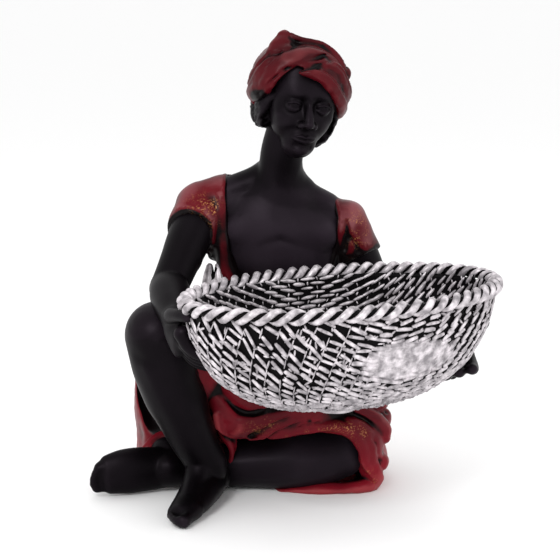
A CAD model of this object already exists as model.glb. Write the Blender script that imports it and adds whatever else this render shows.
"""A seated woman figurine in painted cast resin, with an oval woven basket in her lap."""

import math
import random

import bmesh
import bpy
import numpy as np
from bpy.props import FloatProperty, IntProperty, PointerProperty
from mathutils import Euler, Matrix, Vector, noise


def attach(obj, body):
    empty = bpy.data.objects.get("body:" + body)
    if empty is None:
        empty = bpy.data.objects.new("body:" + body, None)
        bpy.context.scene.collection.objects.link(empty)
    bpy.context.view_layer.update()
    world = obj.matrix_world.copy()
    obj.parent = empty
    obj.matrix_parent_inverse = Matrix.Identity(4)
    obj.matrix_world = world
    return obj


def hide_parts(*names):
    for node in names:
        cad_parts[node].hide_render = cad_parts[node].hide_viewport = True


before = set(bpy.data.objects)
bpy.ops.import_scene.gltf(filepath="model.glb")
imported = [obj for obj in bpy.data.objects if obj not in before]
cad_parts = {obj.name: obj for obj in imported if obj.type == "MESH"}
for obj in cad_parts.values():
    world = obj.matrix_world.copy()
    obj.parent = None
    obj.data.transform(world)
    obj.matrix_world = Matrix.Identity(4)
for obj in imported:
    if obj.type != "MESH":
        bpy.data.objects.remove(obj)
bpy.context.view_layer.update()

bl_info = {
    "name": "Seated woman figurine",
    "version": (1, 0, 0),
    "blender": (4, 5, 0),
    "location": "View3D > Sidebar > Figurine",
    "description": "Models and finishes a cast resin figurine with a basket",
    "category": "Object",
}

MM = 0.001
SEED = 7

# Places on the figure, in mm, her right side at -X
HEAD_AT = (10.0, 7.0, 208.0)
HEAD_TURN = (6.0, 8.5, 16.0)  # nod, tilt and yaw in degrees
SHOULDER_R, ELBOW_R, WRIST_R = (-42, 18, 151), (-58, -18, 115), (-52, -60, 107)
SHOULDER_L, ELBOW_L, WRIST_L = (34, 20, 141.5), (56, 27, 94), (82, -8, 80)
HIP_R, KNEE_R = (-20, 32, 36), (-62.5, -33, 93.5)


# Shared shapes


def spline(rows, u):
    """Values at shares u along a smooth line through the rows."""
    p = np.asarray(rows, float)
    last = len(p) - 1
    x = np.clip(np.asarray(u, float), 0, 1) * last
    i = np.minimum(x.astype(int), last - 1)
    f = (x - i)[:, None]
    p = np.vstack([2 * p[0] - p[1], p, 2 * p[-1] - p[-2]])
    a, b, c, d = p[i], p[i + 1], p[i + 2], p[i + 3]
    return b + 0.5 * f * (c - a + f * (2 * a - 5 * b + 4 * c - d + f * (3 * (b - c) + d - a)))


def between(a, b, share):
    """The point a share of the way from a to b."""
    return tuple(np.asarray(a, float) + (np.asarray(b, float) - np.asarray(a, float)) * share)


def unit(v):
    """Rows of vectors, each made one long."""
    return v / np.maximum(np.linalg.norm(v, axis=-1, keepdims=True), 1e-12)


def ramp(values, start, reach):
    """A rise from 0 at the start to 1 a reach further on, downwards for a reach under 0."""
    return np.clip((values - start) / reach, 0, 1)


def near(co, at, half):
    """How near points are to the middle of an ellipsoid: 1 there, falling off outwards."""
    return np.exp(-(((co - np.asarray(at, float)) / np.asarray(half, float)) ** 2).sum(1))


def read(table, value, column=1):
    """What a column of a table says between its rows, the first column rising."""
    lines = np.array(table, float)
    return np.interp(value, lines[:, 0], lines[:, column])


def moved(path, by):
    """The points of a path, all moved alike."""
    return [(p[0] + by[0], p[1] + by[1], p[2] + by[2]) for p in path]


def on_side(side, path):
    """A path given for the left side, at +X, or its like on the right for a side of -1."""
    return [(side * p[0], *p[1:]) for p in path]


def limb(bm, stations, across=(1, 0, 0), sides=24, rows=40, cap=0.14, shape=None, heart=None):
    """Sweeps a sphere's rings through stations (x, y, z, half width, half depth).

    The width runs across, or round the heart where one is given.
    """
    made = bmesh.ops.create_uvsphere(bm, u_segments=sides, v_segments=rows, radius=1.0)["verts"]
    ball = np.array([v.co for v in made])
    turn = np.arccos(np.clip(-ball[:, 2], -1, 1)) / math.pi
    around = np.arctan2(ball[:, 1], ball[:, 0])
    line = np.array([list(s) + [s[3]] if len(s) == 4 else list(s) for s in stations], float)
    u = np.clip((turn - cap) / (1 - 2 * cap), 0, 1)
    dome = np.clip(np.abs(turn - 0.5) - (0.5 - cap), 0, cap) / cap * math.pi / 2
    at = spline(line, u)
    ahead = unit(spline(line, u + 0.004)[:, :3] - spline(line, u - 0.004)[:, :3])
    if heart is None:
        side = np.asarray(across, float) - (ahead @ np.asarray(across, float))[:, None] * ahead
        side = unit(side)
        front = np.cross(ahead, side)
    else:
        outward = at[:, :3] - np.asarray(heart, float)
        front = unit(outward - (outward * ahead).sum(1)[:, None] * ahead)
        side = np.cross(front, ahead)
    swell = np.cos(dome) * (shape(around, u) if shape else 1.0)
    reach = np.where(turn < 0.5, -1, 1) * np.sin(dome) * np.minimum(at[:, 3], at[:, 4])
    co = (
        at[:, :3]
        + side * (np.cos(around) * at[:, 3] * swell)[:, None]
        + front * (np.sin(around) * at[:, 4] * swell)[:, None]
        + ahead * reach[:, None]
    )
    for v, p in zip(made, co):
        v.co = p


def ball(bm, at, half, turn=(0, 0, 0), sides=20):
    """An ellipsoid, turned by degrees about X, then Y, then Z."""
    spin = Euler([math.radians(t) for t in turn], "XYZ").to_matrix().to_4x4()
    place = Matrix.Translation(at) @ spin @ Matrix.Diagonal((*half, 1))
    bmesh.ops.create_uvsphere(
        bm, u_segments=sides, v_segments=max(6, sides * 2 // 3), radius=1.0, matrix=place
    )


def head_frame():
    """The turn and the place of the head's own frame, in mm from the middle of the skull."""
    nod, tilt, yaw = (math.radians(t) for t in HEAD_TURN)
    place = Matrix.Translation(HEAD_AT) @ Euler((nod, tilt, yaw), "XYZ").to_matrix().to_4x4()
    place = np.array(place)
    return place[:3, :3], place[:3, 3]


def set_on_neck(clay):
    """Moves a skin from the head's own frame to the figure's."""
    turn, at = head_frame()
    clay.co = clay.co @ turn.T + at


class Clay:
    """A closed skin being modelled: its points in mm and which of them touch."""

    def __init__(self, mesh):
        self.mesh = mesh
        count = len(mesh.vertices)
        flat = np.empty(count * 3)
        mesh.vertices.foreach_get("co", flat)
        self.co = flat.reshape(-1, 3)
        ends = np.empty(len(mesh.edges) * 2, int)
        mesh.edges.foreach_get("vertices", ends)
        ends = ends.reshape(-1, 2)
        self.here = np.concatenate([ends[:, 0], ends[:, 1]])
        self.there = np.concatenate([ends[:, 1], ends[:, 0]])
        self.touching = np.maximum(np.bincount(self.here, minlength=count), 1)
        self.shade = np.zeros(count)
        self.gilt = np.zeros(count)

    def mean(self, values):
        """Each point's neighbours' mean value."""
        count = len(self.co)
        if values.ndim == 1:
            total = np.bincount(self.here, values[self.there], count)
            return total / self.touching
        return np.stack([self.mean(values[:, k]) for k in range(values.shape[1])], 1)

    def relax(self, times, share=0.5, where=None):
        """Smooths, all over or by a weight for each point."""
        w = share if where is None else (share * where)[:, None]
        for _ in range(times):
            self.co += (self.mean(self.co) - self.co) * w

    def store(self):
        """Writes the points back to the mesh."""
        self.mesh.vertices.foreach_set("co", self.co.ravel())
        self.mesh.update()

    def normals(self):
        """Outward normals of the points as they are now."""
        self.store()
        flat = np.empty(len(self.co) * 3)
        self.mesh.vertices.foreach_get("normal", flat)
        return flat.reshape(-1, 3)

    def push(self, amount, way=None):
        """Moves points along their normals, or along one way, by an amount for each."""
        way = self.normals() if way is None else np.asarray(way, float)[None, :]
        self.co += way * amount[:, None]

    def lines(self, path, width, reach=3.0):
        """How near each point is to a line of points: 1 on it, falling off over the width."""
        path = np.asarray(path, float)
        weight = np.zeros(len(self.co))
        low, high = path.min(0) - reach * width, path.max(0) + reach * width
        close = np.nonzero(((self.co > low) & (self.co < high)).all(1))[0]
        if not len(close):
            return weight
        p = self.co[close]
        best = np.full(len(close), 1e9)
        for a, b in zip(path[:-1], path[1:]):
            ab = b - a
            t = np.clip((p - a) @ ab / max(ab @ ab, 1e-9), 0, 1)
            best = np.minimum(best, ((p - a - t[:, None] * ab) ** 2).sum(1))
        weight[close] = np.exp(-best / (width * width))
        return weight

    def stroke(self, path, width, depth, smooth=True, way=None):
        """A groove of a depth, or a ridge where the depth is negative, along a line."""
        path = spline(path, np.linspace(0, 1, 6 * len(path))) if smooth else path
        self.push(self.lines(path, width) * -depth, way)

    def spot(self, at, half, amount, way=None):
        """A soft hill or hollow within an ellipsoid."""
        self.push(near(self.co, at, half) * amount, way)

    def surface(self, x, z):
        """How far forward the front of the skin lies at a place."""
        d = (self.co[:, 0] - x) ** 2 + (self.co[:, 2] - z) ** 2 + (self.co[:, 1] > 0) * 1e3
        return float(self.co[np.argmin(d), 1])

    def ripple(self, scale, amount, seed):
        """Gentle unevenness of a hand-modelled surface."""
        shift = Vector((seed * 3.1, seed * 7.7, seed * 1.3))
        grain = np.array([noise.noise(Vector(p) / scale + shift) for p in self.co])
        self.push(grain * amount)


def settle(name, bm):
    """A new mesh from a finished bmesh."""
    mesh = bpy.data.meshes.new(name)
    bm.to_mesh(mesh)
    bm.free()
    return mesh


def hold(name, data):
    """An object in the scene that holds a mesh, a curve, a lamp or a camera."""
    holder = bpy.data.objects.new(name, data)
    bpy.context.collection.objects.link(holder)
    return holder


def let_go(holder):
    """The mesh that an object's curve or modifiers make, the object itself taken away."""
    made = holder.evaluated_get(bpy.context.evaluated_depsgraph_get())
    mesh = bpy.data.meshes.new_from_object(made)
    bpy.data.objects.remove(holder)
    return mesh


def smooth_object(name, mesh):
    """A finished object with smooth shading."""
    mesh.polygons.foreach_set("use_smooth", np.ones(len(mesh.polygons), bool))
    return hold(name, mesh)


def cast(name, bm, voxel, relax):
    """Closes overlapping shapes in mm to one skin, ready for modelling."""
    holder = hold(name, settle(name, bm))
    remesh = holder.modifiers.new("one skin", "REMESH")
    remesh.mode = "VOXEL"
    remesh.voxel_size = voxel
    remesh.use_smooth_shade = True
    clay = Clay(let_go(holder))
    clay.relax(relax)
    return clay


def thin(clay, triangles):
    """The skin as triangles, fewer where it is flat."""
    clay.store()
    holder = hold("thinned", clay.mesh)
    faces = 2 * len(clay.mesh.polygons)
    if faces > triangles:
        fewer = holder.modifiers.new("fewer faces", "DECIMATE")
        fewer.ratio = triangles / faces
        fewer.use_collapse_triangulate = True
    return Clay(let_go(holder))


def mark_relief(clay, scale):
    """Stores how far each point stands out (over 0) or lies back (under 0), and its gold."""
    normal = clay.normals()
    level = clay.co.copy()
    relief = np.zeros(len(level))
    for times, reach, share in ((24, 1.0, 0.75), (110, 3.0, 0.45)):
        for _ in range(times):
            level += (clay.mean(level) - level) * 0.8
        stands = ((clay.co - level) * normal).sum(1) / (scale * reach)
        relief += share * np.clip(clay.mean(stands - np.median(stands)), -1, 1)
    relief += clay.shade
    for name, values in (("relief", relief), ("gilt", clay.gilt)):
        layer = clay.mesh.attributes.new(name, "FLOAT", "POINT")
        layer.data.foreach_set("value", values.astype(np.float32))


def join_skins(name, skins, node):
    """One object from finished skins, each with its paint, in metres at the origin."""
    bm = bmesh.new()
    paints = []
    for clay, paint in skins:
        clay.store()
        mesh = clay.mesh
        if paint not in paints:
            paints.append(paint)
        mesh.transform(Matrix.Scale(MM, 4))
        index = paints.index(paint)
        mesh.materials.clear()
        mesh.polygons.foreach_set("material_index", np.full(len(mesh.polygons), index, int))
        bm.from_mesh(mesh)
    out = settle(name, bm)
    out.validate()
    for paint in paints:
        out.materials.append(paint)
    piece = smooth_object(name, out)
    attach(piece, "root")
    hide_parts(node)


# Paint


class Paint:
    """A material under construction."""

    def __init__(self, name):
        self.material = bpy.data.materials.new(name)
        self.material.use_nodes = True
        self.tree = self.material.node_tree
        self.shader = self.tree.nodes["Principled BSDF"]

    def feed(self, socket, value):
        """Gives an input a plain value or a link."""
        if isinstance(value, bpy.types.NodeSocket):
            self.tree.links.new(value, socket)
        else:
            socket.default_value = value

    def node(self, kind, values=None, **settings):
        """Adds a node, with plain values or links for its inputs."""
        made = self.tree.nodes.new(kind)
        for key, value in settings.items():
            setattr(made, key, value)
        for key, value in (values or {}).items():
            self.feed(made.inputs[key], value)
        return made

    def place(self):
        """The point on the object."""
        return self.node("ShaderNodeTexCoord").outputs["Object"]

    def grain(self, scale, detail=2.0, rough=0.5):
        """Noise between 0 and 1."""
        values = {"Vector": self.place(), "Scale": scale, "Detail": detail, "Roughness": rough}
        return self.node("ShaderNodeTexNoise", values).outputs["Fac"]

    def stored(self, name):
        """A value stored with the points."""
        return self.node("ShaderNodeAttribute", attribute_name=name).outputs["Fac"]

    def remap(self, value, low, high, to_low=0.0, to_high=1.0):
        """A clamped change of range."""
        values = {"Value": value, "From Min": low, "From Max": high, "To Min": to_low, "To Max": to_high}
        return self.node("ShaderNodeMapRange", values, clamp=True).outputs["Result"]

    def sum(self, a, b, operation="ADD"):
        """Arithmetic on two values."""
        return self.node("ShaderNodeMath", {0: a, 1: b}, operation=operation).outputs[0]

    def mix(self, share, a, b):
        """A colour between two."""
        return self.node("ShaderNodeMix", {0: share, 6: a, 7: b}, data_type="RGBA").outputs[2]

    def set(self, **values):
        """Sets shader inputs by name, underscores for spaces."""
        for key, value in values.items():
            self.feed(self.shader.inputs[key.replace("_", " ")], value)

    def bump(self, height, strength, distance):
        """Fine roughness of the surface."""
        values = {"Height": height, "Strength": strength, "Distance": distance}
        self.set(Normal=self.node("ShaderNodeBump", values).outputs["Normal"])


def skin_paint():
    """Black satin paint with a faint violet bloom."""
    p = Paint("black satin paint")
    tone = p.sum(p.remap(p.stored("relief"), -0.5, 0.6), p.grain(45, 4), "MULTIPLY")
    dark = p.mix(p.remap(tone, 0.1, 0.5), (0.0008, 0.0005, 0.0008, 1), (0.004, 0.0028, 0.004, 1))
    p.set(
        Base_Color=p.mix(p.remap(p.stored("relief"), 0.4, 1.6), dark, (0.02, 0.0145, 0.02, 1)),
        Roughness=p.remap(p.grain(30, 5), 0.3, 0.7, 0.38, 0.48),
        Specular_IOR_Level=0.075,
        Specular_Tint=(1.0, 0.84, 1.0, 1),
    )
    p.bump(p.grain(900, 3), 0.12, 0.0004)
    return p.material


def dress_paint(name, tone, lift=0.0, rubbed=(0.27, 0.09, 0.1, 1)):
    """Deep red over black, worn pale on edges, with rubs of gold."""
    p = Paint(name)
    relief = p.stored("relief")
    uneven = p.sum(relief, p.remap(p.grain(60, 5), 0, 1, -0.34, 0.34))
    deep, clear = np.array(((0.04, 0.0014, 0.0035), (0.095, 0.0036, 0.0075))) * tone
    low, high = (*deep, 1), (*clear, 1)
    cloud = p.mix(p.remap(p.grain(28, 3), 0.35, 0.65), low, high)
    body = p.mix(p.remap(uneven, -0.36 - lift, 0.12 - lift), (0.0025, 0.001, 0.0014, 1), cloud)
    worn = p.mix(p.remap(uneven, 0.46, 1.05, 0, 0.5), body, rubbed)
    specks = p.remap(p.grain(1100, 3), 0.52, 0.62)
    drifts = p.remap(p.grain(190, 3), 0.42, 0.62)
    gold = p.sum(p.sum(specks, drifts, "MULTIPLY"), p.stored("gilt"), "MULTIPLY")
    p.set(
        Base_Color=p.mix(gold, worn, (0.5, 0.22, 0.08, 1)),
        Metallic=p.remap(gold, 0, 1, 0, 0.6),
        Roughness=p.remap(p.grain(50, 4), 0.3, 0.7, 0.3, 0.42),
        Specular_IOR_Level=0.1,
    )
    p.bump(p.grain(700, 4), 0.12, 0.0004)
    return p.material


def silver_paint(name):
    """Bright silver on the high points, black in the hollows."""
    p = Paint(name)
    uneven = p.sum(p.stored("relief"), p.remap(p.grain(350, 3), 0, 1, -0.3, 0.3))
    bright = p.remap(uneven, -0.05, 0.16)
    tone = p.mix(p.remap(p.grain(240, 4), 0.35, 0.65), (0.25, 0.23, 0.245, 1), (0.72, 0.67, 0.7, 1))
    p.set(
        Base_Color=p.mix(bright, (0.003, 0.0025, 0.003, 1), tone),
        Metallic=p.remap(bright, 0, 1, 0, 0.35),
        Roughness=p.remap(p.grain(200, 4), 0.3, 0.7, 0.32, 0.5),
        Specular_IOR_Level=p.remap(bright, 0, 1, 0.04, 0.3),
    )
    p.bump(p.grain(1200, 3), 0.2, 0.0003)
    return p.material


# The basket

# Shares of the half length and of the height, up the side from the foot
BOWL_PROFILE = (
    (0.30, 0.0), (0.36, 0.02), (0.62, 0.15), (0.81, 0.35), (0.92, 0.60), (0.97, 0.80), (0.985, 1.0),
)
# How bright the silver is inside the wall, outside it, under the bowl and on the foot
INNER_RELIEF, OUTER_RELIEF, UNDER_RELIEF, FOOT_RELIEF = -0.7, -0.5, 0.7, 0.8
# Where the weave starts outside and inside and ends outside, in shares up the side
WEAVE_LOW, FLOOR_EDGE, WEAVE_TOP = 0.31, 0.25, 0.985
# Widths of the rope's strands and core and the strands' way from its middle, in rope radii
STRAND_WIDTH, CORE_WIDTH, STRAND_OUT = 0.44, 0.48, 0.56


class Bowl:
    """Where things are on the basket, from turns round it and shares up its side."""

    def __init__(self, props):
        self.long, self.wide = props.half_long, props.half_wide
        self.high = props.height
        self.side = props.height - 0.6 * props.rope_radius
        foot = Matrix.Translation((props.at_x, props.at_y, props.at_z))
        self.place = foot @ Matrix.Rotation(math.radians(props.yaw), 4, "Z")
        t = np.linspace(0, math.tau, 721)
        step = np.hypot(np.diff(self.long * np.cos(t)), np.diff(self.wide * np.sin(t)))
        self.run = np.concatenate([[0], np.cumsum(step)])
        self.angle = t
        u = np.linspace(0, 1, 200)
        shape = spline(BOWL_PROFILE, u)
        wide = shape[:, 0] * (self.long + self.wide) / 2
        rise = np.hypot(np.diff(wide), np.diff(shape[:, 1] * self.side))
        self.climb = np.concatenate([[0], np.cumsum(rise)])
        self.climb_u = u

    def theta(self, turn):
        """The angle after a share of the way round, evenly along the rim."""
        turn = turn % 1.0
        return float(np.interp(turn * self.run[-1], self.run, self.angle))

    def rise(self, share):
        """The profile's parameter after a share of the way up, evenly along the wall."""
        return float(np.interp(share * self.climb[-1], self.climb, self.climb_u))

    def point(self, theta, u, inset=0.0):
        """A point on the wall."""
        r, z = spline(BOWL_PROFILE, np.array([u]))[0]
        x = (self.long * r - inset) * math.cos(theta)
        y = (self.wide * r - inset) * math.sin(theta)
        return Vector((x, y, z * self.side + inset * 0.35))

    def frame(self, turn, share, inset=0.0):
        """Point, way round, way up and outward normal on the wall."""
        theta, u = self.theta(turn), self.rise(share)
        at = self.point(theta, u, inset)
        along = self.point(theta + 0.01, u, inset) - self.point(theta - 0.01, u, inset)
        up = self.point(theta, min(u + 0.01, 1), inset) - self.point(theta, max(u - 0.01, 0), inset)
        along.normalize()
        out = along.cross(up).normalized()
        return at, along, out.cross(along), out


class Strands:
    """Lays many copies of one small strand into a mesh, blunt ended where blunt is under 1."""

    def __init__(self, bm, sides, rows, blunt=1.0):
        self.bm = bm
        shape = bmesh.new()
        shape.verts.layers.float.new("relief")
        bmesh.ops.create_uvsphere(shape, u_segments=sides, v_segments=rows, radius=1.0)
        bmesh.ops.rotate(shape, matrix=Matrix.Rotation(math.pi / 2, 3, "Y"), verts=shape.verts)
        self.mesh = bpy.data.meshes.new("strand")
        shape.to_mesh(self.mesh)
        shape.free()
        self.unit = np.array([v.co for v in self.mesh.vertices])
        self.height = self.unit[:, 2].copy()
        around = np.hypot(self.unit[:, 1], self.unit[:, 2])
        self.unit[:, 1:] *= (np.maximum(around, 1e-6) ** (blunt - 1))[:, None]

    def lay(self, bowl, spot, half, slope, out_way=1, base=0.0):
        """One strand on the weave: its top bright and its root dark."""
        at, along, up, out = spot
        out = out * out_way
        way = (along * math.cos(slope) + up * math.sin(slope)).normalized()
        frame_of = np.array([way * half[0], out.cross(way) * half[1], out * half[2]])
        place = np.array(bowl.place)
        co = (self.unit @ frame_of + np.array(at)) @ place[:3, :3].T + place[:3, 3]
        self.mesh.vertices.foreach_set("co", co.ravel())
        value = (base - 0.2 + 0.8 * self.height).astype(np.float32)
        self.mesh.attributes["relief"].data.foreach_set("value", value)
        self.bm.from_mesh(self.mesh)


# Slope of the strands in degrees by their place along X, outside and inside
SLOPE_OUTSIDE = (
    (-34, -60), (-15, -52), (10, -44), (28, -28), (48, -8), (63, 6), (78, 28), (93, 50), (103, 60),
)
SLOPE_INSIDE = (
    (-22, -30), (-9, -22), (0, -9), (10, 0), (21, 5), (32, 14), (42, 25), (55, 36), (66, 46), (76, 52),
)
# The rubbed patch on the front: its middle and half size across and up, and how far back it may be
WORN_X, WORN_Z, WORN_WIDE, WORN_HIGH, WORN_BACK = 62, 94, 22, 10.5, -38


def worn_patch(bowl, at):
    """How far the silver is rubbed smooth at a point of the outside: 1 in the middle."""
    world = bowl.place @ at
    if world.y > WORN_BACK:
        return 0.0
    d = ((world.x - WORN_X) / WORN_WIDE) ** 2 + ((world.z - WORN_Z) / WORN_HIGH) ** 2
    d += 0.45 * noise.noise(world / 6)
    return min(1.0, 1.5 * math.exp(-(max(d, 0) ** 1.3)))


def weave_outside(strands, chips, bowl, props, chance):
    """Slanting strands between thin leaning ribs, and short ends under the bowl."""
    columns = props.columns

    def on_column(column, share):
        return bowl.frame(column / columns - props.twist * (1 - share), share)

    for column in range(columns):
        share = WEAVE_LOW + 0.02 * (column % 2)
        while share < WEAVE_TOP:
            at, along, up, out = on_column(column + 0.54, share)
            at = at + along * chance.uniform(-0.5, 0.5) + up * chance.uniform(-0.4, 0.4)
            place = bowl.place @ at
            slope = float(read(SLOPE_OUTSIDE, place.x))
            reach = spline(BOWL_PROFILE, np.array([bowl.rise(share)]))[0][0]
            width = bowl.run[-1] * reach / columns
            smooth = worn_patch(bowl, at)
            level = 1 - abs(slope) / 60
            turned = abs((bowl.place.to_3x3() @ out).y)
            slope = math.degrees(math.atan(math.tan(math.radians(slope)) * max(0.45, turned)))
            slope += chance.uniform(-16, 16)
            lean = math.cos(math.radians(slope))
            share += props.spacing / max(0.6, lean) / bowl.climb[-1] * chance.uniform(0.85, 1.15)
            half = (
                (0.41 * width / max(0.62, lean) + 1.6 * level) * chance.uniform(0.8, 1.12),
                (1.24 + 0.1 * level) * chance.uniform(0.72, 1.15),
                (1.5 - 0.6 * smooth) * chance.uniform(0.7, 1.2),
            )
            spot = (at + out * (0.1 + 0.5 * smooth), along, up, out)
            strands.lay(bowl, spot, half, math.radians(slope), base=0.4 * smooth)
    for column in range(columns):
        for k in range(10):
            share = 0.3 + 0.07 * k + chance.uniform(-0.01, 0.01)
            at, along, up, out = on_column(column, share)
            if chance.random() < 0.2 or (bowl.place @ at).x > 44:
                continue
            step = on_column(column, share + 0.02)[0] - at
            half = (3.3, chance.uniform(0.45, 0.75), 1.3)
            slope = math.atan2(step.dot(up), step.dot(along)) + chance.uniform(-0.12, 0.12)
            chips.lay(bowl, (at + out * 0.2, along, up, out), half, slope)
    for _ in range(props.chips):
        share = 0.13 + 0.22 * chance.random()
        low = chance.random() < 0.68
        if not low:
            share = chance.uniform(0.3, 0.97)
        at, along, up, out = bowl.frame(chance.random(), share)
        deep = 1.7 if low else 1.4
        half = (chance.uniform(1.1, 2.6), chance.uniform(0.55, 0.95), chance.uniform(0.9, deep))
        slope = chance.uniform(-1.6, 1.6)
        chips.lay(bowl, (at + out * 0.1, along, up, out), half, slope, base=0.1)


def weave_inside(strands, chips, bowl, props, chance):
    """Long pointed strands laid like bricks round the inside, with small ties between."""
    rows, columns = props.rows_inside, props.columns_inside
    for row in range(rows):
        share = FLOOR_EDGE + 0.755 * (row + 0.5) / rows
        for column in range(columns):
            turn = (column + 0.5 * (row % 2)) / columns + chance.uniform(-0.05, 0.05) / columns
            at, along, up, out = bowl.frame(turn, share, props.wall)
            far = bowl.place @ at
            slope = math.radians(-read(SLOPE_INSIDE, far.x) + chance.uniform(-6, 6))
            half = (4.6 * chance.uniform(0.75, 1.15), 1.15 * chance.uniform(0.75, 1.2), 1.5)
            strands.lay(bowl, (at - out * 0.1, along, up, out), half, slope, -1, 0.04)
            if chance.random() < 0.75:
                at, along, up, out = bowl.frame(turn + 0.5 / columns, share, props.wall)
                half = (1.2, chance.uniform(0.4, 0.7), 0.8)
                chips.lay(bowl, (at, along, up, out), half, chance.uniform(0.9, 2.2), -1)


def weave_floor(strands, bowl, props, chance):
    """The same strands in rings over the floor of the bowl."""
    down, rings, low = Vector((0, 0, -1)), 10, bowl.rise(FLOOR_EDGE)
    for ring in range(rings):
        share = 1.06 * (ring + 0.5) / rings
        count = max(5, round(30 * share))
        for i in range(count):
            theta = math.tau * (i + 0.5 * (ring % 2) + chance.uniform(-0.05, 0.05)) / count
            edge = bowl.point(theta, low, props.wall)
            along = (bowl.point(theta + 0.01, low, props.wall) - edge).normalized()
            at = Vector((edge.x * share, edge.y * share, props.wall + 1.6))
            half = (4.5 * chance.uniform(0.8, 1.1), 1.1 * chance.uniform(0.8, 1.2), 1.5)
            spot = (at, along, down.cross(along), down)
            strands.lay(bowl, spot, half, chance.uniform(-0.1, 0.1), -1, 0.04)


def rope(bm, bowl, props):
    """Two strands twisted round a dark core, closed round the rim."""
    for strand in range(3):
        core = strand == 2
        count = props.rope_turns * (3 if core else 14)
        tube = bpy.data.curves.new("strand", "CURVE")
        tube.dimensions = "3D"
        tube.bevel_mode = "ROUND"
        tube.bevel_depth = props.rope_radius * (CORE_WIDTH if core else STRAND_WIDTH)
        tube.bevel_resolution = 1 if core else 3
        line = tube.splines.new("POLY")
        line.points.add(count - 1)
        line.use_cyclic_u = True
        middles = []
        for i, point in enumerate(line.points):
            theta = bowl.theta(i / count)
            middle = Vector((bowl.long * math.cos(theta), bowl.wide * math.sin(theta), bowl.high))
            out = Vector((math.cos(theta) / bowl.long, math.sin(theta) / bowl.wide, 0)).normalized()
            lag = 0.12 / math.tau * math.sin(math.tau * (i / count - 0.675))
            twist = math.tau * (props.rope_turns * (i / count - lag)) + math.pi * strand
            arm = 0 if core else props.rope_radius * STRAND_OUT
            spoke = out * math.cos(twist) + Vector((0, 0, math.sin(twist)))
            point.co = (*(bowl.place @ (middle + spoke * arm)), 1)
            middles.append(bowl.place @ middle)
        mesh = let_go(hold("strand", tube))
        co = np.array([v.co for v in mesh.vertices])
        rings = np.repeat(np.array(middles), len(co) // count, axis=0)
        reach = np.linalg.norm(co - rings, axis=1) / props.rope_radius
        dull = ramp(rings[:, 0], 62, 30) * ramp(rings[:, 1], -70, 40)
        value = np.full(len(reach), -1.0) if core else (reach - 0.6 - 0.2 * dull) * 2.4
        relief = mesh.attributes.new("relief", "FLOAT", "POINT")
        relief.data.foreach_set("value", value.astype(np.float32))
        bm.from_mesh(mesh)


def bowl_wall(bm, bowl, props):
    """The closed wall under the weave, spun round and drawn out to an oval."""
    layer, rise, inset = (bm.verts.layers.float[name] for name in ("relief", "rise", "inset"))
    outer = [(u, 0.0) for u in np.linspace(0, 1, 40)]
    inner = [(u, props.wall) for u in np.linspace(1, 0.14, 30)]
    line = [bm.verts.new((0, 0, 0))]
    for u, deep in outer + inner:
        at = bowl.point(0, u, deep)
        line.append(bm.verts.new((at.x, 0, max(at.z, props.wall + 1.5) if deep else at.z)))
        line[-1][rise] = u
        line[-1][inset] = deep
        line[-1][layer] = INNER_RELIEF if deep else OUTER_RELIEF
    line.append(bm.verts.new((0, 0, props.wall + 1.5)))
    edges = [bm.edges.new(pair) for pair in zip(line[:-1], line[1:])]
    turn = {"axis": (0, 0, 1), "cent": (0, 0, 0), "angle": math.tau, "steps": 150}
    bmesh.ops.spin(bm, geom=line + edges, use_merge=True, **turn)
    for v in bm.verts:
        high = v.co.z
        if v[layer] < 0:
            v.co = bowl.point(math.atan2(v.co.y, v.co.x), v[rise], v[inset])
            v.co.z = high
        if high < 1:
            v[layer] = UNDER_RELIEF
        smooth = worn_patch(bowl, v.co) if v[layer] == OUTER_RELIEF else 0
        v[layer] += 1.1 * smooth
        out = Vector((v.co.x, v.co.y, 0)).normalized()
        v.co = bowl.place @ (v.co + out * 1.2 * smooth)
    bmesh.ops.remove_doubles(bm, verts=bm.verts[:], dist=0.001)


def foot_disc(bm, bowl):
    """The plain oval foot under the bowl."""
    layer = bm.verts.layers.float["relief"]
    place = bowl.place @ Matrix.Translation((-4, 0, -1.6)) @ Matrix.Diagonal((9.5, 8.5, 3.4, 1))
    size = {"segments": 48, "radius1": 1.0, "radius2": 1.06, "depth": 1.0}
    for v in bmesh.ops.create_cone(bm, cap_ends=True, matrix=place, **size)["verts"]:
        v[layer] = FOOT_RELIEF


def build_basket(props, paint):
    """The woven basket."""
    chance = random.Random(SEED)
    bowl = Bowl(props)
    bm = bmesh.new()
    for name in ("relief", "rise", "inset"):
        bm.verts.layers.float.new(name)
    bowl_wall(bm, bowl, props)
    foot_disc(bm, bowl)
    chips = Strands(bm, 4, 4)
    weave_outside(Strands(bm, 6, 6, 0.3), chips, bowl, props, chance)
    inside = Strands(bm, 5, 6)
    weave_inside(inside, chips, bowl, props, chance)
    weave_floor(inside, bowl, props, chance)
    rope(bm, bowl, props)
    bmesh.ops.transform(bm, matrix=Matrix.Scale(MM, 4), verts=bm.verts)
    bmesh.ops.recalc_face_normals(bm, faces=bm.faces)
    mesh = settle("basket", bm)
    mesh.materials.append(paint)
    piece = smooth_object("woven_basket", mesh)
    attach(piece, "root")
    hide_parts("basket")


# The head

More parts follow.
